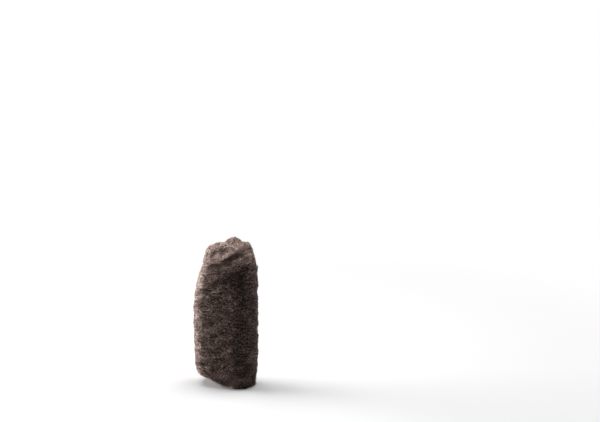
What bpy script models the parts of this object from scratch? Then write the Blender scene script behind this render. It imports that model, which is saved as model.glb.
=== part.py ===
"""Steel wool pad: one ribbon of fine steel wool, wound flat on itself and stood on its end.

The ribbon starts as a flat slab. It is wound turn on turn round its own first fold, and the roll is then
pressed by hand into a pad that narrows towards its top. Metres, +Z up, the front of the pad towards -Y.
"""

import math
from collections import namedtuple

import bmesh
import bpy
from mathutils import Vector

# The ribbon
RIBBON_HEIGHT = 0.1210              # its width, which stands upright in the pad
RIBBON_THICKNESS = 0.0048
EDGE_ROUND = 0.0016                 # rounding of its two long edges
TORN_THICKNESS = 0.0008             # of each end, where the ribbon was torn off and thins out
CORE_TORN_LENGTH = 0.0050           # length over which the inner end thins
TAIL_TORN_LENGTH = 0.0260           # and the outer end
TAIL_RAGGED = 0.0022                # how far the outer end's edge wanders
TAIL_WAVES = 2.5                    # from the pad's foot to its top

# The winding
CORE_LENGTH = 0.0250                # straight run between two folds
LAYERS = 6                          # runs of ribbon from the front of the pad to its back
TURN_GAP = 0.0004                   # slack between one turn and the next
TAIL_WRAP = math.radians(100)       # how far the outer end goes round the last fold

# The top: the outer turns end lower than the inner ones, which stand up in a lobe
SHOULDER = 0.030                    # depth of the pad's top that is worked out of shape
TOP_SLOPE = 0.085                   # the top rises to the right
CROWN_DROP = 0.0030                 # how much lower the outer turn ends
LOBE_RISE = 0.0036
LOBE_PLACE = 0.0050                 # right of the middle
LOBE_HALF_WIDTH = 0.0080
NOTCH_DEPTH = 0.0012                # dip between the lobe and the right shoulder
NOTCH_PLACE = 0.0145
NOTCH_HALF_WIDTH = 0.0028

# The taper: how far each side comes in at the top, and over what height
LEFT_INSET, LEFT_TAPER = 0.0134, 0.0500
RIGHT_INSET, RIGHT_TAPER = 0.0060, 0.0190
FRONT_INSET, FRONT_TAPER = 0.0060, 0.0260
BACK_INSET, BACK_TAPER = 0.0030, 0.0260
TAPER_CURVE = 1.10                  # 1 is a straight taper, and more starts it gently
BELLY = 0.0010                      # swelling of each side at mid height
FRONT_CROWN = 0.0012                # swelling of the front and back between the folds

# The foot: each side is drawn under it. The pad rests on its right and back, and its front left
# corner is off the floor
LEFT_FOOT, RIGHT_FOOT, FRONT_FOOT, BACK_FOOT = 0.0046, 0.0016, 0.0032, 0.0024
FOOT_TAPER = 0.0150
LIFT = 0.0090
LIFT_RUN = 0.0230                   # distance over which the corner rises
LIFT_FADE = 0.0500                  # height over which the rise dies out
FOOT_FRONT = Vector((0.0120, -0.0140))
FOOT_BACK = Vector((-0.0240, 0.0140))

# The front: a fold of wool hangs over two creases near the top, the right one higher than the left
FOLD_SWELL = 0.0016
FOLD_ABOVE = 0.0050                 # from the crease up to the fullest part of the fold
FOLD_HALF_HEIGHT = 0.0042
CREASE_DEPTH = 0.0030
CREASE_HALF_HEIGHT = 0.0026
CREASES = (                         # place across the pad, half length, height, slope up to the right
    (0.0040, 0.0085, 0.1032, 0.05),
    (0.0138, 0.0070, 0.1110, 0.50),
)

# The tufts that the curled fibres make on the turns that show: waves over the ribbon's outer side.
# The hollows between them lie in the ribbon, and only the highest tufts stand past its thickness
TUFT_HEIGHT = 0.0006
TUFT_WAVES = (                      # length along the ribbon, length up it, and phase
    (0.0210, 0.0083, 0.0),
    (-0.0170, 0.0112, 2.1),
    (0.0124, 0.0290, 4.0),
    (-0.0260, 0.0142, 1.2),
)

# Facets
RUN_STEPS = 5                       # along each straight run inside the pad
FOLD_STEP = 0.0036                  # longest step round a fold, and along a run that shows
FEWEST_FOLD_STEPS = 6
ROUND_STEPS = 3
PLAIN_ROWS = 9                      # rows of facets up to the creases
TOP_ROWS = 13                       # and from there to the top
TUFT_ROWS = 3                       # finer rows in each plain one, on the outer side where tufts show

PITCH = RIBBON_THICKNESS + TURN_GAP
PAD_DEPTH = LAYERS * PITCH - TURN_GAP
PAD_WIDTH = CORE_LENGTH + PAD_DEPTH

HalfTurn = namedtuple("HalfTurn", "start side radius centre sweep")


def winding():
    """The half turns of the winding, from the inside out: a straight run and then a fold.

    Each fold is a half circle half a pitch wider than the one before. The folds at one end share one
    centre, and those at the other end share another half a pitch in front of it, so runs and folds meet
    smoothly. The last fold stops where the ribbon ends."""
    turns, start = [], 0.0
    for layer in range(LAYERS):
        side = 1 if layer % 2 == 0 else -1
        radius = (layer + 1) * PITCH / 2
        centre = Vector((side * CORE_LENGTH / 2, -(layer % 2) * PITCH / 2, 0.0))
        sweep = TAIL_WRAP if layer == LAYERS - 1 else math.pi
        turns.append(HalfTurn(start, side, radius, centre, sweep))
        start += CORE_LENGTH + sweep * radius
    return turns, start


WINDING, RIBBON_LENGTH = winding()
COVERED_FOLD = WINDING[LAYERS - 3]  # the fold that the ribbon's outer end is wrapped over in part
SHOWN_START = COVERED_FOLD.start + CORE_LENGTH + TAIL_WRAP * COVERED_FOLD.radius


def ease(t):
    """A smooth step from 0 at t = 0 to 1 at t = 1."""
    t = min(max(t, 0.0), 1.0)
    return t * t * (3.0 - 2.0 * t)


def hump(distance, half_width, flatness=2):
    """A smooth bump of height 1; flatness 4 gives it a broad top and steep sides."""
    return math.exp(-(abs(distance / half_width) ** flatness))


def cuts_along():
    """The lengths along the ribbon where it is cut into facets: few on a hidden run, and more elsewhere."""
    cuts = []
    for turn in WINDING:
        run_steps = RUN_STEPS if turn.start < SHOWN_START else math.ceil(CORE_LENGTH / FOLD_STEP)
        cuts += [turn.start + CORE_LENGTH * k / run_steps for k in range(run_steps)]
        arc = turn.sweep * turn.radius
        steps = max(FEWEST_FOLD_STEPS, math.ceil(arc / FOLD_STEP))
        cuts += [turn.start + CORE_LENGTH + arc * k / steps for k in range(steps)]
    return cuts[1:]


def cuts_across(plain_rows, top_rows):
    """The heights where the ribbon is cut into rows of facets, up to the lowest crease and above it."""
    low, high = EDGE_ROUND, RIBBON_HEIGHT - EDGE_ROUND
    middle = min(height for _, _, height, _ in CREASES) - 2.5 * CREASE_HALF_HEIGHT
    plain = [low + (middle - low) * k / plain_rows for k in range(1, plain_rows + 1)]
    return plain + [middle + (high - middle) * k / top_rows for k in range(1, top_rows)]


def cut_at_height(bm, faces, height):
    """Cuts a set of faces along a line at one height."""
    edges = {edge for face in faces for edge in face.edges}
    verts = {vert for face in faces for vert in face.verts}
    bmesh.ops.bisect_plane(bm, geom=[*verts, *edges, *faces], dist=1e-6, plane_co=(0.0, 0.0, height),
                           plane_no=(0.0, 0.0, 1.0))


def flat_ribbon():
    """The ribbon before it is wound: its length along X, its height along Z, its outer side towards -Y."""
    bm = bmesh.new()
    bmesh.ops.create_cube(bm, size=1.0)
    bmesh.ops.translate(bm, verts=bm.verts, vec=(0.5, 0.0, 0.5))
    bmesh.ops.scale(bm, verts=bm.verts, vec=(RIBBON_LENGTH, RIBBON_THICKNESS, RIBBON_HEIGHT))
    long_edges = [e for e in bm.edges if abs(e.verts[0].co.x - e.verts[1].co.x) > RIBBON_LENGTH / 2]
    bmesh.ops.bevel(bm, geom=long_edges, offset=EDGE_ROUND, segments=ROUND_STEPS, profile=0.5,
                    affect="EDGES")
    for along in cuts_along():
        bmesh.ops.bisect_plane(bm, geom=bm.verts[:] + bm.edges[:] + bm.faces[:],
                               plane_co=(along, 0.0, 0.0), plane_no=(1.0, 0.0, 0.0))
    for height in cuts_across(PLAIN_ROWS, TOP_ROWS):
        cut_at_height(bm, bm.faces[:], height)
    bm.normal_update()
    for height in cuts_across(PLAIN_ROWS * TUFT_ROWS, 1):
        outer = [f for f in bm.faces if f.normal.y < -0.9 and f.calc_center_median().x > SHOWN_START]
        cut_at_height(bm, outer, height)
    return bm


def tufts(along, height):
    """How far the outer side stands out at a point of the ribbon: waves that cross in four directions."""
    total = 0.0
    for length_along, length_up, phase in TUFT_WAVES:
        total += math.sin(2.0 * math.pi * (along / length_along + height / length_up) + phase)
    return TUFT_HEIGHT * (total / math.sqrt(len(TUFT_WAVES)) - 1.0)


def tufted(along, outward, height):
    """A point of the ribbon with the tufts on it: all of them on its outer side, less towards its middle,
    and none on the turns inside."""
    shown = ease((along - SHOWN_START) / FOLD_STEP)
    return outward + shown * max(outward / (RIBBON_THICKNESS / 2), 0.0) * tufts(along, height)


def torn(along, outward, height):
    """The ribbon thinned towards its torn ends, from its outer side, and the outer end's edge made ragged."""
    least = TORN_THICKNESS / RIBBON_THICKNESS
    from_end = RIBBON_LENGTH - along
    share = least + (1.0 - least) * min(ease(along / CORE_TORN_LENGTH), ease(from_end / TAIL_TORN_LENGTH))
    wander = math.sin(2.0 * math.pi * TAIL_WAVES * height / RIBBON_HEIGHT)
    along -= TAIL_RAGGED * (1.0 + wander) * (1.0 - ease(from_end / TAIL_TORN_LENGTH))
    inner_side = -RIBBON_THICKNESS / 2
    return along, inner_side + (outward - inner_side) * share


def wound(along, outward, height):
    """Where a point of the flat ribbon lies in the winding."""
    turn = [t for t in WINDING if t.start <= along][-1]
    travelled = along - turn.start
    if travelled < CORE_LENGTH:
        normal = Vector((0.0, -turn.side, 0.0))
        run = Vector((turn.side * (travelled - CORE_LENGTH), 0.0, 0.0))
    else:
        angle = (travelled - CORE_LENGTH) / turn.radius
        normal = Vector((turn.side * math.sin(angle), -turn.side * math.cos(angle), 0.0))
        run = Vector()
    place = turn.centre + run + (turn.radius + outward) * normal
    place.z = height
    return place


def shape_ends(place):
    """The top's crown, lobe and notch, and the corner that is lifted off the floor. Only heights change."""
    past_core = max(abs(place.x) - CORE_LENGTH / 2, 0.0)
    out = math.hypot(past_core, place.y) / (PAD_DEPTH / 2)
    rise = LOBE_RISE * hump(place.x - LOBE_PLACE, LOBE_HALF_WIDTH, flatness=4) * hump(out, 0.9)
    rise += TOP_SLOPE * place.x
    rise -= CROWN_DROP * out ** 2 + NOTCH_DEPTH * hump(place.x - NOTCH_PLACE, NOTCH_HALF_WIDTH)
    foot_line = FOOT_BACK - FOOT_FRONT
    off_foot = foot_line.normalized().cross(place.xy - FOOT_FRONT)
    lift = LIFT * ease(off_foot / LIFT_RUN) * (1.0 - ease(place.z / LIFT_FADE))
    top = ease((place.z - RIBBON_HEIGHT + SHOULDER) / SHOULDER)
    place.z += top * rise + lift


def drawn_in(value, half, low_inset, high_inset):
    """A coordinate between -half and half, squeezed evenly as its two ends come in."""
    return value * (1.0 - (low_inset + high_inset) / (2.0 * half)) + (low_inset - high_inset) / 2.0


def inset(height, foot, top, top_length):
    """How far one side has come in at a height: at the foot, and leaning in over a length below the top."""
    leaning = max((height - RIBBON_HEIGHT + top_length) / top_length, 0.0)
    belly = BELLY * math.sin(math.pi * height / RIBBON_HEIGHT)
    return foot * (1.0 - ease(height / FOOT_TAPER)) + top * leaning ** TAPER_CURVE - belly


def shape_sides(place):
    """The foot drawn under, the taper to the top, and the swelling of the sides."""
    left = inset(place.z, LEFT_FOOT, LEFT_INSET, LEFT_TAPER)
    right = inset(place.z, RIGHT_FOOT, RIGHT_INSET, RIGHT_TAPER)
    front = inset(place.z, FRONT_FOOT, FRONT_INSET, FRONT_TAPER)
    back = inset(place.z, BACK_FOOT, BACK_INSET, BACK_TAPER)
    place.x = drawn_in(place.x, PAD_WIDTH / 2, left, right)
    place.y = drawn_in(place.y, PAD_DEPTH / 2, front, back)
    across = 2.0 * place.x / PAD_WIDTH
    place.y *= 1.0 + FRONT_CROWN / (PAD_DEPTH / 2) * (1.0 - across ** 2)


def crease_front(place):
    """The fold of wool on the front near the top and the creases under it.

    The push dies out towards the middle of the pad, so each turn under the outer one follows it less."""
    if place.y >= 0.0:
        return
    push = 0.0
    for middle, half_length, height, slope in CREASES:
        beside = hump(place.x - middle, half_length)
        above = place.z - height - slope * (place.x - middle)
        push += CREASE_DEPTH * beside * hump(above, CREASE_HALF_HEIGHT)
        push -= FOLD_SWELL * beside * hump(above - FOLD_ABOVE, FOLD_HALF_HEIGHT)
    place.y += push * (2.0 * place.y / PAD_DEPTH) ** 2


def wound_pad():
    """The whole pad: the flat ribbon, wound, pressed into shape and set down on the middle of its foot."""
    bm = flat_ribbon()
    for vert in bm.verts:
        along, inward, height = vert.co
        along, outward = torn(along, tufted(along, -inward, height), height)
        place = wound(along, outward, height)
        shape_ends(place)
        shape_sides(place)
        crease_front(place)
        vert.co = place
    low = [min(v.co[axis] for v in bm.verts) for axis in range(3)]
    high = [max(v.co[axis] for v in bm.verts) for axis in range(3)]
    bmesh.ops.translate(bm, verts=bm.verts, vec=(-(low[0] + high[0]) / 2, -(low[1] + high[1]) / 2, -low[2]))
    mesh = bpy.data.meshes.new("steel_wool_pad")
    bm.to_mesh(mesh)
    bm.free()
    mesh.shade_smooth()
    return mesh


def steel_wool_material():
    """Fine mild steel fibres, grey with a brown cast."""
    material = bpy.data.materials.new("mild_steel_wool")
    material.use_nodes = True
    shader = material.node_tree.nodes["Principled BSDF"]
    shader.inputs["Base Color"].default_value = (0.115, 0.082, 0.070, 1.0)
    shader.inputs["Metallic"].default_value = 0.7
    shader.inputs["Roughness"].default_value = 0.6
    return material


for old in list(bpy.data.objects):
    bpy.data.objects.remove(old, do_unlink=True)

collection = bpy.data.collections.new("steel_wool_pad")
bpy.context.scene.collection.children.link(collection)
pad = bpy.data.objects.new("steel_wool_pad", wound_pad())
pad.data.materials.append(steel_wool_material())
collection.objects.link(pad)
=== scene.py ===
"""A steel wool pad, finished: the wound ribbon's mass of wool, and the fibres that lie on it.

Metres, +Z up. The pad stands on its end, with its front towards -Y."""

import math

import bpy
import numpy as np
from mathutils import Matrix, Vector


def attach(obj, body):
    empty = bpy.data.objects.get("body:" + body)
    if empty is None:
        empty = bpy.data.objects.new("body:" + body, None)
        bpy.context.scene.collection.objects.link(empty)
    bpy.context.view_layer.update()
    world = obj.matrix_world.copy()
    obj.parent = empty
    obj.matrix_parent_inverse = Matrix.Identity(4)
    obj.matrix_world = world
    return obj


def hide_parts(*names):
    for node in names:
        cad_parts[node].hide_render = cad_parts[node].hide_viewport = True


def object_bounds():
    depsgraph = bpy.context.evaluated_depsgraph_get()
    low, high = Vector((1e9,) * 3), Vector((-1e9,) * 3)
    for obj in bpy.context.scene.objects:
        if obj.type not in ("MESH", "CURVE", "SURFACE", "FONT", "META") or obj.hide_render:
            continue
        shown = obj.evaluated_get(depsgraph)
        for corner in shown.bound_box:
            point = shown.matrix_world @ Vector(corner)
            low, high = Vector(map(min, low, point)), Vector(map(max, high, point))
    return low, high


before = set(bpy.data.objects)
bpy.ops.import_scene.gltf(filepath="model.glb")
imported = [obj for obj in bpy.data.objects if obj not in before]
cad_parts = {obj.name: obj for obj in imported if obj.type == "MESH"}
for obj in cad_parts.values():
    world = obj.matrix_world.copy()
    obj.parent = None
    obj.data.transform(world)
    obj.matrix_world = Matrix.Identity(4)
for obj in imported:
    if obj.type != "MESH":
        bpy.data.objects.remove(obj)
cad_low, cad_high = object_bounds()

# The camera
# It stands a little above the pad, looks down on it, and is turned so that the pad's right edge is the
# nearer one. The middle of the pad's foot shows at FOOT_PIXEL of the picture.
LENS_MM, SENSOR_MM = 60.0, 36.0
IMAGE_WIDTH, IMAGE_HEIGHT = 600, 422
FOOT_PIXEL = (226.7, 382.6)
DEPTH = 0.85                        # of the pad's foot in front of the camera
HEADING = math.radians(21.8)        # turned to the left of the pad's own front
LOOKING_DOWN = math.radians(8.75)

focal_pixels = LENS_MM / SENSOR_MM * IMAGE_WIDTH
forward = np.array([-math.sin(HEADING) * math.cos(LOOKING_DOWN), math.cos(HEADING) * math.cos(LOOKING_DOWN),
                    -math.sin(LOOKING_DOWN)])
rightward = np.array([math.cos(HEADING), math.sin(HEADING), 0.0])
upward = np.cross(rightward, forward)
foot_right = (FOOT_PIXEL[0] - IMAGE_WIDTH / 2) / focal_pixels
foot_down = (FOOT_PIXEL[1] - IMAGE_HEIGHT / 2) / focal_pixels
camera_place = -DEPTH * (forward + foot_right * rightward - foot_down * upward)

camera = bpy.data.objects.new("camera", bpy.data.cameras.new("camera"))
bpy.context.scene.collection.objects.link(camera)
camera.data.lens, camera.data.sensor_width = LENS_MM, SENSOR_MM
turned = Matrix(np.stack([rightward, upward, -forward], axis=1).tolist()).to_4x4()
camera.matrix_world = Matrix.Translation(camera_place.tolist()) @ turned
bpy.context.scene.camera = camera

# The mass of wool
# One long band of fine steel wool, shaved from mild steel wire and carded flat. It is wound flat on itself
# in six layers, pressed by hand into a pad that narrows towards its top, and holds by its hooked fibres.
RIBBON_HEIGHT, RIBBON_THICKNESS = 0.1210, 0.0048
EDGE_ROUND = 0.0016                 # of the ribbon's long edges
TORN_THICKNESS = 0.0008
CORE_TORN_LENGTH = 0.0050
TAIL_TORN_LENGTH = 0.0260
TAIL_RAGGED, TAIL_WAVES = 0.0022, 2.5     # depth of the outer end's torn line, and its waves up the ribbon
CORE_LENGTH = 0.0250                # straight run between two folds
LAYERS = 6
TURN_GAP = 0.0004                   # slack between two turns
TAIL_WRAP = math.radians(100)       # how far the outer end goes round the last fold
SHOULDER = 0.030                    # depth of the top that is worked out of shape
TOP_SLOPE = 0.085                   # up to the right
CROWN_DROP = 0.0030                 # from the middle of the top to its rim
LOBE_RISE, LOBE_PLACE, LOBE_HALF_WIDTH = 0.0036, 0.0050, 0.0080
NOTCH_DEPTH, NOTCH_PLACE, NOTCH_HALF_WIDTH = 0.0012, 0.0145, 0.0028
LEFT_INSET, LEFT_TAPER = 0.0134, 0.0500   # how far the top comes in, and over what length below it
RIGHT_INSET, RIGHT_TAPER = 0.0060, 0.0190
FRONT_INSET, FRONT_TAPER = 0.0060, 0.0260
BACK_INSET, BACK_TAPER = 0.0030, 0.0260
TAPER_CURVE = 1.10
BELLY = 0.0010                      # how far the sides stand out half way up
FRONT_CROWN = 0.0012                # and the middle of the front and of the back
LEFT_FOOT, RIGHT_FOOT, FRONT_FOOT, BACK_FOOT = 0.0046, 0.0016, 0.0032, 0.0024
FOOT_TAPER = 0.0150
LIFT, LIFT_RUN, LIFT_FADE = 0.0090, 0.0230, 0.0500    # of the foot's corner: height, run, and reach up
FOOT_FRONT = np.array([0.0120, -0.0140])      # the foot lifts at the left of the line through these two
FOOT_BACK = np.array([-0.0240, 0.0140])
FOLD_SWELL, FOLD_ABOVE, FOLD_HALF_HEIGHT = 0.0022, 0.0050, 0.0042     # a little fuller than the solid's
CREASE_DEPTH, CREASE_HALF_HEIGHT = 0.0030, 0.0026
CREASES = (                         # place across the pad, half length, height, slope up to the right
    (0.0040, 0.0085, 0.1032, 0.05),
    (0.0138, 0.0070, 0.1110, 0.50),
)
TUFT_HEIGHT = 0.00032               # lower than the solid's tufts, since the fibres add their own
TUFT_START = 0.0036                 # length over which the tufts begin
TUFT_WAVES = (                      # length along the ribbon, length up it, and phase
    (0.0210, 0.0083, 0.0),
    (-0.0170, 0.0112, 2.1),
    (0.0124, 0.0290, 4.0),
    (-0.0260, 0.0142, 1.2),
)
DRAWN_IN = 0.00035                  # the mass lies this far inside the coat of fibres
UNEVEN = 0.00020                    # height of the small unevenness that the fibres' curls make
LUMPY = 0.00015                     # and of the broad lumps that a hand leaves
ROLLING_WAVES = 36                  # that each of the two is the sum of
PACKED_TONE = 0.30                  # of the steel between the fibres: 0 is dark and 1 is bright
PAINTED_LIGHT_GAIN = 1.6                   # how much the painted light raises the steel's tone, per 1 of it, and the painted shade lowers it
TOP_PAINTED_LIGHT, FOOT_PAINTED_BOUNCE, FOLD_PAINTED_LIGHT = 0.8, 3.0, 4.0     # painted light at the top, painted bounce light at the foot, and painted light on the fold's lip
# painted light towards the pad's left side, which the low lamp lights: how much, where it begins, and the
# run over which it grows to the left
LEFT_PAINTED_LIGHT, LEFT_PAINTED_LIGHT_START, LEFT_PAINTED_LIGHT_RUN = 0.6, -0.002, 0.018
PAINTED_PATCHES = (                  # painted light where above 0, painted shade where below: how much, place across and up, half width and half height
    (-0.7, 0.0130, 0.0950, 0.0110, 0.0090),     # painted shade under the fold
    (-0.5, 0.0170, 0.1020, 0.0060, 0.0060),
    (2.5, 0.0195, 0.1165, 0.0060, 0.0060),      # painted light at the top's right corner
    (2.0, -0.0010, 0.1040, 0.0110, 0.0035),     # painted light along the lip of the fold, and left of it
    (1.2, -0.0050, 0.0980, 0.0070, 0.0090),
)
FINE_STEP, COARSE_STEP = 0.0008, 0.0014   # between points on the turns that show, and on the hidden ones
EDGE_POINTS, CORNER_POINTS = 10, 7  # over a long edge, and over a quarter turn of its section
TUCKED_UNDER = 0.3                  # of a fold's radius: how far under the outer end the fine grid begins

PITCH = RIBBON_THICKNESS + TURN_GAP
PAD_DEPTH = LAYERS * PITCH - TURN_GAP
PAD_WIDTH = CORE_LENGTH + PAD_DEPTH

half_turn = np.arange(LAYERS)       # each is a straight run and then a fold, from the inside out
heads_right = half_turn % 2 == 0    # these runs go to the right along the front, and the others back
fold_radius = (half_turn + 1) * PITCH / 2
sweep = np.where(half_turn == LAYERS - 1, TAIL_WRAP, math.pi)
turn_start = np.concatenate([[0.0], np.cumsum(CORE_LENGTH + sweep * fold_radius)])
RIBBON_LENGTH = turn_start[-1]
COVERED_FOLD = LAYERS - 3           # the ribbon's outer end is wrapped over this fold in part
SHOWN_START = turn_start[COVERED_FOLD] + CORE_LENGTH + TAIL_WRAP * fold_radius[COVERED_FOLD]


def ease(t):
    """A smooth step from 0 at t = 0 to 1 at t = 1."""
    t = np.clip(t, 0.0, 1.0)
    return t * t * (3.0 - 2.0 * t)


def hump(distance, half_width, flatness=2):
    """A smooth bump of height 1; flatness 4 gives it a broad top and steep sides."""
    return np.exp(-np.abs(distance / half_width) ** flatness)


def ribbon_outline():
    """The ribbon's section as a line: up its outer side, over the round top, down the inner side, round the
    foot and back. Columns: length run, outward, height, and the two parts of the normal."""
    half, high = RIBBON_THICKNESS / 2 - EDGE_ROUND, RIBBON_HEIGHT - EDGE_ROUND
    corners = ((half, high, 0), (-half, high, 90), (-half, EDGE_ROUND, 180), (half, EDGE_ROUND, 270))
    columns = []
    for outward, height, from_angle in corners:
        angle = np.radians(from_angle + np.linspace(0.0, 90.0, CORNER_POINTS))
        normal = np.stack([np.cos(angle), np.sin(angle)])
        columns.append(np.vstack([[[outward], [height]] + EDGE_ROUND * normal, normal]))
    line = np.hstack(columns)
    line = np.hstack([line[:, -1:], line])
    run = np.concatenate([[0.0], np.cumsum(np.hypot(*np.diff(line[:2], axis=1)))])
    return np.vstack([run, line])


OUTLINE = ribbon_outline()
SIDE_LENGTH = RIBBON_HEIGHT - 2 * EDGE_ROUND
EDGE_LENGTH = OUTLINE[0, -1] / 2 - SIDE_LENGTH


def wound(along, outward):
    """The plan of the winding: a run is a line at the fold's radius from its centre, and a fold is an arc
    about that centre. Past its end the ribbon would go on round the last fold."""
    turn = np.clip(np.searchsorted(turn_start, along, side="right") - 1, 0, LAYERS - 1)
    side = np.where(heads_right[turn], 1.0, -1.0)
    travelled = along - turn_start[turn] - CORE_LENGTH
    angle = np.maximum(travelled, 0.0) / fold_radius[turn]
    reach = fold_radius[turn] + outward
    x = side * (CORE_LENGTH / 2 + np.minimum(travelled, 0.0) + reach * np.sin(angle))
    y = np.where(heads_right[turn], 0.0, -PITCH / 2) - side * reach * np.cos(angle)
    return x, y


def inset(height, foot, top, top_length):
    """How far one side has come in at a height: at the foot, and leaning in over a length below the top."""
    leaning = np.maximum((height - RIBBON_HEIGHT + top_length) / top_length, 0.0)
    belly = BELLY * np.sin(np.pi * height / RIBBON_HEIGHT)
    return foot * (1.0 - ease(height / FOOT_TAPER)) + top * leaning ** TAPER_CURVE - belly


def drawn_in(value, half, low_inset, high_inset):
    """A coordinate between -half and half, squeezed evenly as its two ends come in."""
    return value * (1.0 - (low_inset + high_inset) / (2.0 * half)) + (low_inset - high_inset) / 2.0


def pressed(x, y, z):
    """The hand's work on the wound roll: the top's crown, lobe and notch, the foot's lifted corner, the
    taper of each side, and the fold of wool over two creases on the front."""
    out = np.hypot(np.maximum(np.abs(x) - CORE_LENGTH / 2, 0.0), y) / (PAD_DEPTH / 2)
    rise = LOBE_RISE * hump(x - LOBE_PLACE, LOBE_HALF_WIDTH, flatness=4) * hump(out, 0.9)
    rise += TOP_SLOPE * x - CROWN_DROP * out ** 2 - NOTCH_DEPTH * hump(x - NOTCH_PLACE, NOTCH_HALF_WIDTH)
    line = (FOOT_BACK - FOOT_FRONT) / np.linalg.norm(FOOT_BACK - FOOT_FRONT)
    off_foot = line[0] * (y - FOOT_FRONT[1]) - line[1] * (x - FOOT_FRONT[0])
    lift = LIFT * ease(off_foot / LIFT_RUN) * (1.0 - ease(z / LIFT_FADE))
    z = z + ease((z - RIBBON_HEIGHT + SHOULDER) / SHOULDER) * rise + lift
    x = drawn_in(x, PAD_WIDTH / 2, inset(z, LEFT_FOOT, LEFT_INSET, LEFT_TAPER),
                 inset(z, RIGHT_FOOT, RIGHT_INSET, RIGHT_TAPER))
    y = drawn_in(y, PAD_DEPTH / 2, inset(z, FRONT_FOOT, FRONT_INSET, FRONT_TAPER),
                 inset(z, BACK_FOOT, BACK_INSET, BACK_TAPER))
    y = y * (1.0 + FRONT_CROWN / (PAD_DEPTH / 2) * (1.0 - (2.0 * x / PAD_WIDTH) ** 2))
    push = 0.0
    for middle, half_length, height, slope in CREASES:
        above = z - height - slope * (x - middle)
        dent = CREASE_DEPTH * hump(above, CREASE_HALF_HEIGHT)
        dent = dent - FOLD_SWELL * hump(above - FOLD_ABOVE, FOLD_HALF_HEIGHT)
        push = push + hump(x - middle, half_length) * dent
    y = y + np.where(y < 0.0, push * (2.0 * y / PAD_DEPTH) ** 2, 0.0)
    return np.stack(np.broadcast_arrays(x, y, z), axis=-1)


def tufts(along, height):
    """How far the ribbon's outer side stands out: waves that cross in four directions, on shown turns."""
    total = 0.0
    for length_along, length_up, phase in TUFT_WAVES:
        total = total + np.sin(2.0 * np.pi * (along / length_along + height / length_up) + phase)
    shown = ease((along - SHOWN_START) / TUFT_START)
    return shown * TUFT_HEIGHT * (total / math.sqrt(len(TUFT_WAVES)) - 1.0)


def unshifted_point(along, around, lift):
    """A point of the ribbon's surface: its place along the ribbon, the length round its section from the
    foot of the outer side, and its height off that surface. Towards the torn ends all of it thins."""
    around, lift = np.mod(around, OUTLINE[0, -1]), np.asarray(lift)
    outward, height, normal_out, normal_up = (np.interp(around, OUTLINE[0], row) for row in OUTLINE[1:])
    outward, height = outward + lift * normal_out, height + lift * normal_up
    outward = outward + np.clip(outward / (RIBBON_THICKNESS / 2), 0.0, 1.0) * tufts(along, height)
    least = TORN_THICKNESS / RIBBON_THICKNESS
    from_end = RIBBON_LENGTH - along
    near_end = ease(from_end / TAIL_TORN_LENGTH)
    share = least + (1.0 - least) * np.minimum(ease(along / CORE_TORN_LENGTH), near_end)
    wander = np.sin(2.0 * np.pi * TAIL_WAVES * height / RIBBON_HEIGHT)
    along = along - TAIL_RAGGED * (1.0 + wander) * (1.0 - near_end)
    inner_side = -RIBBON_THICKNESS / 2
    x, y = wound(along, inner_side + (outward - inner_side) * share)
    return pressed(x, y, height)


first_shown = SHOWN_START - TUCKED_UNDER * fold_radius[COVERED_FOLD]
stations = np.concatenate([np.arange(0.0, first_shown, COARSE_STEP),
                           np.linspace(first_shown, RIBBON_LENGTH,
                                       round((RIBBON_LENGTH - first_shown) / FINE_STEP))])
side_rows = np.arange(0.0, SIDE_LENGTH, FINE_STEP)
edge_rows = np.linspace(0.0, EDGE_LENGTH, EDGE_POINTS, endpoint=False)
ring = np.concatenate([side_rows, SIDE_LENGTH + edge_rows,
                       SIDE_LENGTH + EDGE_LENGTH + np.arange(0.0, SIDE_LENGTH, 3 * COARSE_STEP),
                       2 * SIDE_LENGTH + EDGE_LENGTH + edge_rows])
grid_along, grid_around = np.meshgrid(stations, ring, indexing="ij")

plain = unshifted_point(grid_along, grid_around, 0.0).reshape(-1, 3)
plain_middle = (plain.min(0) + plain.max(0)) / 2
ON_ITS_FOOT = np.array([(cad_low.x + cad_high.x) / 2 - plain_middle[0],
                        (cad_low.y + cad_high.y) / 2 - plain_middle[1], cad_low.z - plain[:, 2].min()])


def wool_point(along, around, lift):
    """A point of the ribbon's surface, with the pad set down where the solid stands. Nothing goes below the
    floor."""
    point = unshifted_point(along, around, lift) + ON_ITS_FOOT
    point[..., 2] = np.maximum(point[..., 2], cad_low.z)
    return point


def unevenness(seed, long, short):
    """A random rolling surface over the ribbon: the sum of many sine waves whose lengths along and across
    it lie in the two ranges given, in metres, scaled to a usual height of 1."""
    draw = np.random.default_rng(seed)
    waves_along = 2.0 * np.pi / draw.uniform(*long, ROLLING_WAVES) * draw.choice([-1.0, 1.0], ROLLING_WAVES)
    waves_across = 2.0 * np.pi / draw.uniform(*short, ROLLING_WAVES)
    phases = draw.uniform(0.0, 2.0 * np.pi, ROLLING_WAVES)

    def height(along, around):
        total = 0.0
        for wave_along, wave_across, phase in zip(waves_along, waves_across, phases):
            total = total + np.sin(wave_along * along + wave_across * around + phase)
        return total * math.sqrt(2.0 / ROLLING_WAVES)

    return height


small_curls = unevenness(1, long=(0.0022, 0.0050), short=(0.0012, 0.0024))
broad_lumps = unevenness(2, long=(0.014, 0.040), short=(0.012, 0.040))


def relief(along, around):
    """How far the wool stands out of the pressed shape at a point."""
    return UNEVEN * small_curls(along, around) + LUMPY * broad_lumps(along, around)


def mesh_piece(name, points, faces):
    """A smooth-shaded piece from its points and the lists of its faces' corners."""
    mesh = bpy.data.meshes.new(name)
    mesh.from_pydata(points.reshape(-1, 3).tolist(), [], faces)
    mesh.polygons.foreach_set("use_smooth", np.ones(len(faces), bool))
    piece = bpy.data.objects.new(name, mesh)
    bpy.context.scene.collection.objects.link(piece)
    return piece


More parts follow.
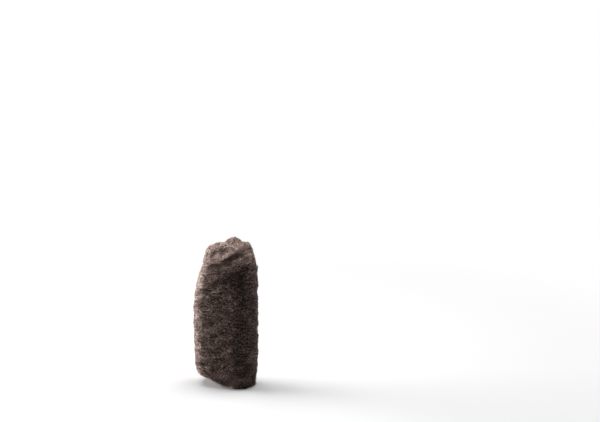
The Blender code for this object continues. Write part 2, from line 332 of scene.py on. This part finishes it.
def painted_light_and_shade(point):
    """Painted light and shade on the steel, as a share at a point: painted light, most at both ends of the
    pad, where the lamps above light the top and the floor's bounce lights the foot, on the fold over the
    creases, and towards the pad's left side, which the low lamp lights. It is below 0 for painted shade: in
    the creases, and under the fold."""
    x, y, z = np.moveaxis(point - ON_ITS_FOOT, -1, 0)
    # painted light at the top, painted bounce light along the foot, painted light at the left side, on the
    # fold's lip, and painted shade in the creases
    total = TOP_PAINTED_LIGHT * ease((z - RIBBON_HEIGHT + SHOULDER) / SHOULDER)
    total = total + FOOT_PAINTED_BOUNCE * (1.0 - ease(z / FOOT_TAPER))
    total = total + LEFT_PAINTED_LIGHT * ease((LEFT_PAINTED_LIGHT_START - x) / LEFT_PAINTED_LIGHT_RUN)
    front = y < 0.0
    for middle, half_length, height, slope in CREASES:
        above = z - height - slope * (x - middle)
        beside = np.where(front, hump(x - middle, half_length), 0.0)
        fold, crease = hump(above - FOLD_ABOVE, FOLD_HALF_HEIGHT), hump(above, CREASE_HALF_HEIGHT)
        total = total + beside * (FOLD_PAINTED_LIGHT * fold - crease)
    # patches of painted light and painted shade on the front
    for painted_amount, across, height, half_width, half_height in PAINTED_PATCHES:
        patch = painted_amount * hump(x - across, half_width) * hump(z - height, half_height)
        total = total + np.where(front, patch, 0.0)
    return total


def set_tone(piece, tone, at):
    """Stores the steel's tone at each point, from 0, dark, to 1, bright: the tone given, times 1 plus a
    share of the painted light and shade there."""
    # the painted light raises the steel's tone, and the painted shade lowers it
    tone = np.clip(tone * (1.0 + PAINTED_LIGHT_GAIN * painted_light_and_shade(at)), 0.0, 1.0)
    attribute = piece.data.attributes.new("tone", "FLOAT", "POINT")
    attribute.data.foreach_set("value", tone.astype(np.float32))


def wool_mass():
    """The wound ribbon as one closed skin: a grid of stations along it and points round its section, and a
    fan of triangles over the section at each torn end."""
    lift = relief(grid_along, grid_around) - DRAWN_IN
    points = wool_point(grid_along, grid_around, lift)
    count, across = grid_along.shape
    index = np.arange(count * across).reshape(count, across)
    beside = np.roll(index, -1, axis=1)
    quads = np.stack([index[:-1], index[1:], beside[1:], beside[:-1]], axis=-1).reshape(-1, 4)
    centres = points[[0, -1]].mean(axis=1)
    start_fan = np.stack([np.full(across, index.size), index[0], beside[0]], axis=-1)
    end_fan = np.stack([np.full(across, index.size + 1), beside[-1], index[-1]], axis=-1)
    faces = quads.tolist() + start_fan.tolist() + end_fan.tolist()
    points = np.vstack([points.reshape(-1, 3), centres])
    piece = mesh_piece("wool_mass", points, faces)
    set_tone(piece, np.full(len(points), PACKED_TONE), points)
    return piece


def colour(hex_value):
    """An sRGB hex colour as linear red, green, blue and alpha."""
    parts = np.array([int(hex_value[k:k + 2], 16) for k in (1, 3, 5)]) / 255
    linear = np.where(parts <= 0.04045, parts / 12.92, ((parts + 0.055) / 1.055) ** 2.4)
    return (*linear.tolist(), 1.0)


def add(tree, kind, settings=(), links=()):
    """A node of a kind, with the values of its settings and inputs, and the sockets its inputs link to."""
    node = tree.nodes.new(kind)
    for name, value in dict(settings).items():
        if isinstance(name, int) or name in node.inputs:
            node.inputs[name].default_value = value
        else:
            setattr(node, name, value)
    for name, socket in dict(links).items():
        tree.links.new(socket, node.inputs[name])
    return node


def ramp(tree, factor, stops):
    """A colour ramp with (position, colour) stops, driven by a socket."""
    node = add(tree, "ShaderNodeValToRGB", links={"Fac": factor})
    elements = node.color_ramp.elements
    while len(elements) < len(stops):
        elements.new(0.5)
    for element, (position, shade) in zip(elements, stops):
        element.position, element.color = position, shade
    return node


STEEL_SHADES = ((0.0, "#2a201d"), (0.30, "#a18276"), (0.60, "#cdaea2"), (1.0, "#ecd8d0"))
STRAND_SCALE, STRAND_LIE = 950.0, (0.6, 0.6, 1.3)     # lines about 1 mm apart, longer across than up
STRAND_BEND, STRAND_BREADTH = 0.6, 0.12               # coarser than real strands, so that they show
KNOT_SCALE, KNOT_RANGE = 900.0, (0.38, 0.62)          # flecks about 1 mm across
STRAND_CONTRAST, KNOT_CONTRAST = 0.52, 0.30
STEEL_METALLIC, STEEL_ROUGHNESS, STEEL_SHEEN = 0.05, 0.45, 0.15


def mild_steel(name):
    """Shaved mild steel with a film of oil. It gives the eye its brown-grey, and a grain of thin curly
    lines and flecks, for the strands and knots that are finer than the fibres modelled.

    The lines lie where a noise crosses its middle value. They and the flecks of a second noise are added
    to the tone stored on the piece, and the sum picks the shade. A sheet of this steel would shine.
    Fine fibres seen together read nearly matt, so the metallic value and the sheen are brought down."""
    material = bpy.data.materials.new(name)
    material.use_nodes = True
    tree = material.node_tree
    shader = tree.nodes["Principled BSDF"]
    place = add(tree, "ShaderNodeTexCoord").outputs["Object"]
    lying = add(tree, "ShaderNodeMapping", {"Scale": STRAND_LIE}, {"Vector": place}).outputs["Vector"]
    curls = add(tree, "ShaderNodeTexNoise",
                {"Scale": STRAND_SCALE, "Detail": 0.0, "Distortion": STRAND_BEND}, {"Vector": lying})
    off_line = add(tree, "ShaderNodeMath", {"operation": "SUBTRACT", 1: 0.5}, {0: curls.outputs["Fac"]})
    apart = add(tree, "ShaderNodeMath", {"operation": "ABSOLUTE"}, {0: off_line.outputs[0]})
    strand = add(tree, "ShaderNodeMapRange",
                 {"From Max": STRAND_BREADTH, "To Min": STRAND_CONTRAST, "To Max": -STRAND_CONTRAST},
                 {"Value": apart.outputs[0]})
    knots = add(tree, "ShaderNodeTexNoise", {"Scale": KNOT_SCALE, "Detail": 0.0}, {"Vector": place})
    knot = add(tree, "ShaderNodeMapRange",
               {"From Min": KNOT_RANGE[0], "From Max": KNOT_RANGE[1], "To Min": -KNOT_CONTRAST,
                "To Max": KNOT_CONTRAST}, {"Value": knots.outputs["Fac"]})
    tone = add(tree, "ShaderNodeAttribute", {"attribute_name": "tone"}).outputs["Fac"]
    lined = add(tree, "ShaderNodeMath", {"operation": "ADD"}, {0: strand.outputs["Result"], 1: tone})
    toned = add(tree, "ShaderNodeMath", {"operation": "ADD"},
                {0: knot.outputs["Result"], 1: lined.outputs[0]})
    shades = ramp(tree, toned.outputs["Value"], [(level, colour(shade)) for level, shade in STEEL_SHADES])
    tree.links.new(shades.outputs["Color"], shader.inputs["Base Color"])
    shader.inputs["Metallic"].default_value = STEEL_METALLIC
    shader.inputs["Roughness"].default_value = STEEL_ROUGHNESS
    shader.inputs["Specular IOR Level"].default_value = STEEL_SHEEN
    return material


mass = wool_mass()
mass.data.materials.append(mild_steel("packed_mild_steel_wool"))
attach(mass, "root")
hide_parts("steel_wool_pad")

# The coat of fibres
# Mild steel fibres, shaved from wire and so three-sided, with a film of oil. They run round the pad as the
# ribbon does, in locks of a few fibres, crimped and curled where they were torn out of the wire.
FIBRE_WIDTH = (0.00012, 0.00030)    # real ones are 0.02 to 0.06 mm: drawn coarser, so that they show
FIBRE_TWIST = 2.0                   # radians that a fibre turns over its length, at most
LOCK_SIZE = 3                       # fibres that follow one path
LOCK_SPREAD = 0.00022               # across the ribbon, between the fibres of a lock
ALONG_SPREAD, LEVEL_SPREAD = 0.0010, 0.00010      # and along it, and off its surface
TURN_SPREAD = 0.5                   # and round the curls, in radians
RADIUS_SPREAD = (0.75, 1.25)
UNSTEADY = 0.7                      # radians by which a curl turns early and late
CREST_LIFT, CREST_PAINTED_LIGHT = 0.30, 0.5     # how far a curl stands up, in its radii, and the painted light on it there
LOCK_SHINE, SHINE_SPREAD = (4.0, 5.0), 0.22     # tones of the locks, as a beta draw, and within a lock
DEEP_PAINTED_SHADE, PROUD_PAINTED_LIGHT = 0.45, 1.15    # painted shade: the share of its tone that a fibre keeps deep down; painted light: what it gains above
OFF_SURFACE = 0.0002                # step that finds the direction off the surface
TINY = 1e-12                        # keeps a length of 0 from dividing


def fibre_piece(name, draw, groups):
    """Fibres as one mesh, from groups of rows of points that each fibre follows on the ribbon's surface.

    A fibre is a triangle carried along its path, turned about it as it goes and narrowed to a point at
    both ends. Its tone is 0 where it is dark and 1 where it is bright."""
    all_points, all_tones, faces, base = [], [], [], 0
    for along, around, lift, tone in groups:
        count, points_each = along.shape
        path = wool_point(along, around, lift)
        above = wool_point(along, around, lift + OFF_SURFACE) - path
        tangent = np.gradient(path, axis=1)
        tangent /= np.linalg.norm(tangent, axis=-1, keepdims=True) + TINY
        side = np.cross(above, tangent)
        side /= np.linalg.norm(side, axis=-1, keepdims=True) + TINY
        up = np.cross(tangent, side)
        place = np.linspace(0.0, 1.0, points_each)[1:-1]
        narrowing = np.sqrt(1.0 - np.abs(2.0 * place - 1.0) ** 3)
        girth = draw.uniform(*FIBRE_WIDTH, (count, 1)) / 2.0 * narrowing
        roll = draw.uniform(0.0, 2.0 * np.pi, (count, 1))
        roll = roll + draw.uniform(-FIBRE_TWIST, FIBRE_TWIST, (count, 1)) * place
        angle = (roll[..., None] + 2.0 * np.pi / 3.0 * np.arange(3))[..., None]
        offset = np.cos(angle) * side[:, 1:-1, None] + np.sin(angle) * up[:, 1:-1, None]
        rings = path[:, 1:-1, None] + girth[..., None, None] * offset
        points = np.concatenate([path[:, :1], rings.reshape(count, -1, 3), path[:, -1:]], axis=1)
        points[..., 2] = np.maximum(points[..., 2], cad_low.z)

        corner = 1 + np.arange(3 * (points_each - 2)).reshape(-1, 3)
        after = np.roll(corner, -1, axis=1)
        first, last = np.zeros(3, int), np.full(3, points.shape[1] - 1)
        walls = np.stack([corner[:-1], after[:-1], after[1:], corner[1:]], axis=-1).reshape(-1, 4)
        tips = np.vstack([np.stack([first, after[0], corner[0]], axis=-1),
                          np.stack([last, corner[-1], after[-1]], axis=-1)])
        start = base + points.shape[1] * np.arange(count)[:, None, None]
        faces += (start + walls).reshape(-1, 4).tolist() + (start + tips).reshape(-1, 3).tolist()
        base += points.shape[1] * count
        all_points.append(points.reshape(-1, 3))
        each_corner = np.repeat(tone[:, 1:-1], 3, axis=1)
        all_tones.append(np.hstack([tone[:, :1], each_corner, tone[:, -1:]]).ravel())
    piece = mesh_piece(name, np.vstack(all_points), faces)
    set_tone(piece, np.concatenate(all_tones), np.vstack(all_points))
    piece.data.materials.append(steel_fibre)
    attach(piece, "root")
    return piece


def curled_locks(draw, locks, stretch, band, length, curl, wave, depth, segments):
    """Locks of fibres as rows of (along, around, lift, tone): each runs along the ribbon for its length,
    drifts across it, and circles as it goes, so that it is crimped where the circles are small and loops
    where they are large. A fibre's tone carries painted light where it stands out of the wool and on the
    crests of its curls, and painted shade where it dips in.
    Stretch and band are the ranges of the locks' middles along and across the ribbon. Curl is the range
    of the circles' radii, wave of the way run in one circle, and depth of the lock's height off the wool."""
    count = locks * LOCK_SIZE

    def shared(low, high):
        """A value drawn for each lock, the same for all its fibres."""
        return np.repeat(draw.uniform(low, high, locks), LOCK_SIZE)[:, None]

    def own(spread):
        """A small value drawn for each fibre."""
        return draw.normal(0.0, spread, (count, 1))

    t = np.linspace(0.0, 1.0, segments + 1)
    run = shared(*length)
    radius = shared(*curl) * draw.uniform(*RADIUS_SPREAD, (count, 1))
    turning = 2.0 * np.pi * t * run / shared(*wave) + shared(0.0, 2.0 * np.pi)
    turning = turning + own(TURN_SPREAD) + UNSTEADY * np.sin(2.0 * np.pi * t + shared(0.0, 6.0))
    turning = turning * np.repeat(draw.choice([-1.0, 1.0], locks), LOCK_SIZE)[:, None]
    along = shared(*stretch) + run * (t - 0.5) + own(ALONG_SPREAD) + radius * np.sin(turning)
    around = shared(*band) + own(LOCK_SPREAD) + shared(*DRIFT) * run * (t - 0.5)
    around = around + radius * np.cos(turning)
    crest = np.sin(turning + shared(0.0, 2.0 * np.pi))
    level = shared(*depth) + own(LEVEL_SPREAD) + CREST_LIFT * radius * crest
    shine = np.repeat(draw.beta(*LOCK_SHINE, locks), LOCK_SIZE)[:, None] + own(SHINE_SPREAD)
    # painted shade on fibres deep in the wool, painted light on proud ones and on the crests of curls
    proud = ease((level + UNEVEN * small_curls(along, around) - DEEP) / (PROUD - DEEP))
    tone = shine * (DEEP_PAINTED_SHADE + PROUD_PAINTED_LIGHT * proud) * (1.0 + CREST_PAINTED_LIGHT * crest)
    return along, around, relief(along, around) + level, tone


steel_fibre = mild_steel("shaved_mild_steel_fibre")

DRIFT = (-0.25, 0.25)               # slope across the ribbon of a lock's path
DEEP, PROUD = -0.0005, 0.0005       # levels between which a fibre goes from painted shade to painted light
front_start = turn_start[LAYERS - 2]
right_start = front_start + CORE_LENGTH
back_start = turn_start[LAYERS - 1]
left_start = back_start + CORE_LENGTH
TAIL_THIN = 0.006                   # length of the torn outer end where no lock has its middle
STRETCHES = (                       # name, seed, where it starts and ends along the ribbon
    ("fibres_left_front", 11, first_shown, front_start),
    ("fibres_front", 12, front_start, right_start),
    ("fibres_right", 13, right_start, back_start),
    ("fibres_back", 14, back_start, left_start),
    ("fibres_left", 15, left_start, RIBBON_LENGTH - TAIL_THIN),
)
LAID_TO_AREA, CURLS_TO_AREA = 0.080e6, 0.125e6    # locks to a square metre of the pad's sides
side_band = (-0.0010, SIDE_LENGTH + 0.0015)       # the outer side, and a little over its two edges

for name, seed, start, end in STRETCHES:
    draw = np.random.default_rng(seed)
    area = (end - start) * SIDE_LENGTH
    laid = curled_locks(draw, round(LAID_TO_AREA * area), (start, end), side_band,
                        length=(0.011, 0.020), curl=(0.00018, 0.00045), wave=(0.0022, 0.0040),
                        depth=(-0.00022, 0.00012), segments=14)
    curls = curled_locks(draw, round(CURLS_TO_AREA * area), (start, end), side_band,
                         length=(0.0030, 0.0055), curl=(0.00040, 0.00085), wave=(0.0018, 0.0028),
                         depth=(-0.00015, 0.00035), segments=11)
    fibre_piece(name, draw, [laid, curls])

# The fibres at the ribbon's long edges
# At the pad's two ends the ribbon's edges show turn beside turn. Their fibres are the same, and curl over
# the rounded edge.
CORE_BARE, TAIL_BARE = 0.002, 0.004     # lengths at the two torn ends where no lock has its middle
LAID_SHARE, CURLS_SHARE = 0.35, 0.65    # of the locks
EDGE_HALF_BAND = 0.0036             # round the section, either side of the edge's middle
EDGES = (                           # name, seed, middle of the edge round the section, locks
    ("fibres_top", 21, SIDE_LENGTH + EDGE_LENGTH / 2, 700),
    ("fibres_foot", 22, -EDGE_LENGTH / 2, 400),
)
for name, seed, middle, locks in EDGES:
    draw = np.random.default_rng(seed)
    stretch = (CORE_BARE, RIBBON_LENGTH - TAIL_BARE)
    band = (middle - EDGE_HALF_BAND, middle + EDGE_HALF_BAND)
    laid = curled_locks(draw, round(LAID_SHARE * locks), stretch, band,
                        length=(0.006, 0.010), curl=(0.0003, 0.0008), wave=(0.0035, 0.0050),
                        depth=(-0.00030, 0.00020), segments=10)
    curls = curled_locks(draw, round(CURLS_SHARE * locks), stretch, band,
                         length=(0.0025, 0.0045), curl=(0.0004, 0.0009), wave=(0.0022, 0.0036),
                         depth=(-0.00020, 0.00045), segments=8)
    fibre_piece(name, draw, [laid, curls])

# The studio
# A white sweep, two broad soft lamps above and a little behind the pad, and a low one at its left that
# grazes its front, so that the front darkens to the right. Hardly any light comes from the front or the
# right. In reflections the sweep at the left is white, and the room before the pad is dim.
FLOOR_HALF_SIZE = 3.0
LIT_FLOOR = (0.15, 0.60)            # the floor shows shadows to the first distance, and none past the second
LAMPS = (                           # name, direction from the pad, distance, size, power
    ("behind_right", (0.24, 0.21, 1.0), 1.1, 0.8, 8.4),
    ("behind_left", (-0.50, 0.12, 1.0), 1.1, 0.8, 6.6),
    ("left", (-0.93, -0.10, 0.12), 0.9, 0.6, 13.6),
)
BRIGHT_SIDE = (-0.90, -0.25, 0.35)  # where the room is bright
ROOM_DIM, ROOM_BRIGHT = 0.002, 0.05     # its light on the pad, away from that side and on it
SEEN_DIM, SEEN_WHITE = 0.03, 1.0    # and what a reflection shows of it
DIM_FROM, LIT_FROM, WHITE_FROM = -0.2, 0.8, 0.6       # cosines of the angle off that side
PAPER, BOUNCE = "#f2f2f2", "#404040"    # the floor as the camera sees it, and as it lights the pad's foot

bpy.ops.mesh.primitive_plane_add(size=2 * FLOOR_HALF_SIZE)
floor = bpy.context.object
floor.name = "floor"


def ray_is(tree, *kinds):
    """A socket that is 1 for rays of any of these kinds, and 0 for the others."""
    rays = add(tree, "ShaderNodeLightPath")
    found = rays.outputs[kinds[0]]
    for kind in kinds[1:]:
        either = add(tree, "ShaderNodeMath", {"operation": "MAXIMUM"}, {0: found, 1: rays.outputs[kind]})
        found = either.outputs[0]
    return found


def white_floor():
    """Matt white paper. Where it is seen it is white: near the pad it keeps the pad's shadow, and far from
    it, where the lamps no longer reach, it is plain white like the sweep behind."""
    material = bpy.data.materials.new("matt_white_paper")
    material.use_nodes = True
    tree = material.node_tree
    tree.nodes.clear()
    seen = ray_is(tree, "Is Camera Ray", "Is Glossy Ray", "Is Transmission Ray")
    paper = add(tree, "ShaderNodeMix", {"data_type": "RGBA"}, {"Factor": seen})
    paper.inputs["A"].default_value, paper.inputs["B"].default_value = colour(BOUNCE), colour(PAPER)
    matt = add(tree, "ShaderNodeBsdfDiffuse", links={"Color": paper.outputs["Result"]})
    place = add(tree, "ShaderNodeTexCoord").outputs["Object"]
    off_pad = add(tree, "ShaderNodeVectorMath", {"operation": "LENGTH"}, {0: place}).outputs["Value"]
    away = add(tree, "ShaderNodeMapRange",
               {"interpolation_type": "SMOOTHSTEP", "From Min": LIT_FLOOR[0], "From Max": LIT_FLOOR[1]},
               {"Value": off_pad})
    plain = add(tree, "ShaderNodeMath", {"operation": "MULTIPLY"}, {0: seen, 1: away.outputs["Result"]})
    white = add(tree, "ShaderNodeEmission", {"Color": colour("#ffffff"), "Strength": 1.0})
    surface = add(tree, "ShaderNodeMixShader", links={"Fac": plain.outputs[0], 1: matt.outputs["BSDF"],
                                                      2: white.outputs["Emission"]})
    add(tree, "ShaderNodeOutputMaterial", links={"Surface": surface.outputs["Shader"]})
    return material


def studio_room():
    """The room, by the direction that a ray leaves in. The camera sees the white sweep on every side."""
    world = bpy.data.worlds.new("studio_room")
    world.use_nodes = True
    tree = world.node_tree
    tree.nodes.clear()
    way = add(tree, "ShaderNodeTexCoord")
    side = np.array(BRIGHT_SIDE) / np.linalg.norm(BRIGHT_SIDE)
    facing = add(tree, "ShaderNodeVectorMath", {"operation": "DOT_PRODUCT", 1: side.tolist()},
                 {0: way.outputs["Generated"]})
    lit = add(tree, "ShaderNodeMapRange",
              {"interpolation_type": "SMOOTHSTEP", "From Min": DIM_FROM, "From Max": LIT_FROM,
               "To Min": ROOM_DIM, "To Max": ROOM_BRIGHT}, {"Value": facing.outputs["Value"]})
    sweep = add(tree, "ShaderNodeMapRange",
                {"interpolation_type": "SMOOTHSTEP", "From Min": DIM_FROM, "From Max": WHITE_FROM,
                 "To Min": SEEN_DIM, "To Max": SEEN_WHITE}, {"Value": facing.outputs["Value"]})
    mirrored = add(tree, "ShaderNodeMix", links={
        "Factor": ray_is(tree, "Is Glossy Ray", "Is Transmission Ray"), "A": lit.outputs["Result"],
        "B": sweep.outputs["Result"]})
    strength = add(tree, "ShaderNodeMath", {"operation": "MAXIMUM"},
                   {0: mirrored.outputs["Result"], 1: ray_is(tree, "Is Camera Ray")})
    white = add(tree, "ShaderNodeBackground", {"Color": colour("#ffffff")},
                {"Strength": strength.outputs[0]})
    add(tree, "ShaderNodeOutputWorld", links={"Surface": white.outputs["Background"]})
    return world


floor.data.materials.append(white_floor())
bpy.context.scene.world = studio_room()

pad_middle = np.array([0.0, 0.0, cad_high.z / 2])
for name, direction, distance, size, power in LAMPS:
    light = bpy.data.lights.new(name, "AREA")
    light.shape, light.size, light.energy = "DISK", size, power
    lamp = bpy.data.objects.new(name, light)
    bpy.context.scene.collection.objects.link(lamp)
    towards = np.array(direction) / np.linalg.norm(direction)
    across = np.cross([0.0, 1.0, 0.0], towards)
    across /= np.linalg.norm(across)
    turned = Matrix(np.stack([across, np.cross(towards, across), towards], axis=1).tolist()).to_4x4()
    lamp.matrix_world = Matrix.Translation((pad_middle + distance * towards).tolist()) @ turned

bpy.context.scene.view_settings.view_transform = "Standard"
